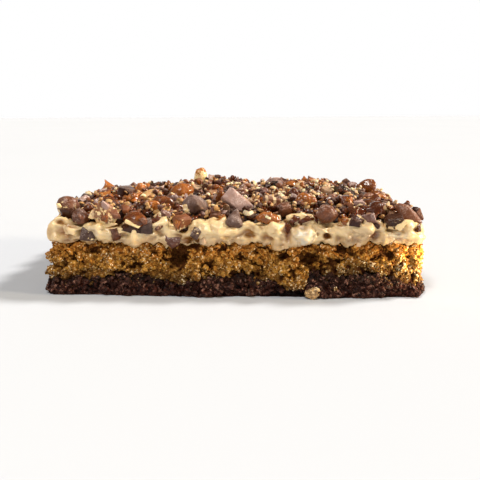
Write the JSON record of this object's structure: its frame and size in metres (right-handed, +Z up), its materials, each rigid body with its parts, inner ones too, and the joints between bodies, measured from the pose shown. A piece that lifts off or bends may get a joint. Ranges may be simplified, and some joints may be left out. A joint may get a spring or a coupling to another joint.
{
  "type": "brookie bar",
  "caption": "Cut rectangular brookie bar: dark brownie base, golden blondie layer, whipped icing and a heap of chopped chocolate, caramel and nut pieces; rests flat on its base.",
  "frame": {"origin": "under the middle of the bar, on the plane of its flat base", "axes": "+X along the bar's length, +Y from the best cut face to the back, +Z up through the layers"},
  "size_m": [0.1238, 0.0714, 0.0355],
  "materials": {
    "brownie": "moist dark crumb",
    "blondie": "open golden crumb",
    "icing": "soft whipped caramel icing",
    "chopped_sweets": "mixed chopped sweets",
    "milk_chocolate": "broken milk chocolate with a dull bloom",
    "dark_chocolate": "satin dark chocolate",
    "caramel": "glossy amber caramel",
    "nougat": "pale nougat with nuts"
  },
  "bodies": {
    "root": {"brownie_base": "brownie", "blondie_layer": "blondie", "icing_layer": "icing", "chopped_sweets_heap": "chopped_sweets", "corner_chocolate_left": "milk_chocolate", "nutty_chunk_left": "milk_chocolate", "nougat_chunk_left": "nougat", "caramel_chunk_left": "caramel", "glazed_nut_oval": "caramel", "glazed_nut_round": "caramel", "chocolate_chip": "dark_chocolate", "tan_chunk_front": "nougat", "chocolate_chip_front": "dark_chocolate", "chopped_slice": "milk_chocolate", "caramel_strip_front": "caramel", "layered_block": "nougat", "cocoa_wedge": "milk_chocolate", "caramel_nut_cluster": "caramel", "chocolate_nut_right": "milk_chocolate", "dark_chunk_right": "dark_chocolate", "long_nut_right": "milk_chocolate", "caramel_block_back": "caramel", "peak_nut": "caramel"}
  },
  "joints": []
}
